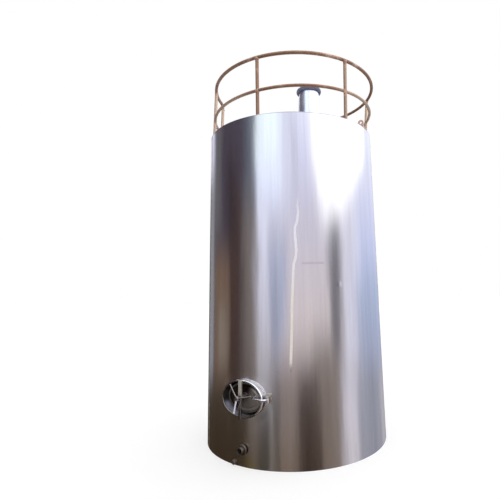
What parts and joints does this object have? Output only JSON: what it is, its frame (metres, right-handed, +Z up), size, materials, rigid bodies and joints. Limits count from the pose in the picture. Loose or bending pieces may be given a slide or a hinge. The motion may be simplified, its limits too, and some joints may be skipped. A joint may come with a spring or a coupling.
{
  "type": "vertical storage tank",
  "caption": "Upright flat-bottomed stainless tank with an oval manway low in the wall, a roof guard rail and an agitator drive on top.",
  "frame": {"origin": "middle of the flat base, on the floor", "axes": "+Z up along the tank's axis, -Y towards the front, with the manway 30 degrees to the left of it, +X to the right"},
  "size_m": [2.0743, 2.0632, 4.395],
  "materials": {
    "brushed_wall": "brushed, wavy, weathered towards the base",
    "bright_fittings": "polished",
    "dull_steel": "dull, mill finish",
    "rail_tube": "warm brown satin",
    "hood_sheet": "satin sheet",
    "drive_blue": "semi-gloss paint",
    "black_gasket": "matt"
  },
  "bodies": {
    "tank": {"tank_floor": "brushed_wall", "shell_panel_front_left": "brushed_wall", "shell_panel_front_right": "brushed_wall", "shell_panel_rear_right": "brushed_wall", "shell_panel_rear": "brushed_wall", "shell_panel_rear_left": "brushed_wall", "rim_ring": "brushed_wall", "roof_cone": "brushed_wall", "manway_neck": "brushed_wall", "manway_lip": "bright_fittings", "hinge_bracket": "brushed_wall", "hinge_pin": "bright_fittings", "outlet_pipe": "brushed_wall", "outlet_flange": "bright_fittings", "drain_stub": "dull_steel", "lifting_lug_right": "brushed_wall", "lifting_lug_left": "brushed_wall", "agitator_neck": "brushed_wall", "agitator_flange": "brushed_wall", "agitator_stool": "dull_steel", "gearbox": "drive_blue", "motor_hood": "hood_sheet", "hood_cap": "hood_sheet", "gap_post_left": "rail_tube", "rail_post_left": "rail_tube", "rail_post_front_left": "rail_tube", "rail_post_front_right": "rail_tube", "rail_post_right": "rail_tube", "rail_post_rear": "rail_tube", "gap_post_rear": "rail_tube", "top_rail": "rail_tube", "mid_rail_1": "rail_tube", "mid_rail_2": "rail_tube", "mid_rail_3": "rail_tube", "mid_rail_4": "rail_tube", "mid_rail_5": "rail_tube", "mid_rail_6": "rail_tube"},
    "manway_door": {"manway_cover": "dull_steel", "cover_gasket": "black_gasket", "cover_stud": "bright_fittings", "crossbar": "bright_fittings", "hinge_arm": "bright_fittings"},
    "handwheel": {"handwheel": "bright_fittings"}
  },
  "joints": [
    {"name": "manway_swing", "type": "hinge", "parent": "tank", "child": "manway_door", "pos_m": [-0.26766, -1.02469, 0.625], "axis": [0, 0, 1], "range_deg": [0, 105]},
    {"name": "handwheel_turn", "type": "hinge", "parent": "manway_door", "child": "handwheel", "pos_m": [-0.54911, -0.94158, 0.629], "axis": [-0.5038, -0.8638, 0], "continuous": true}
  ]
}
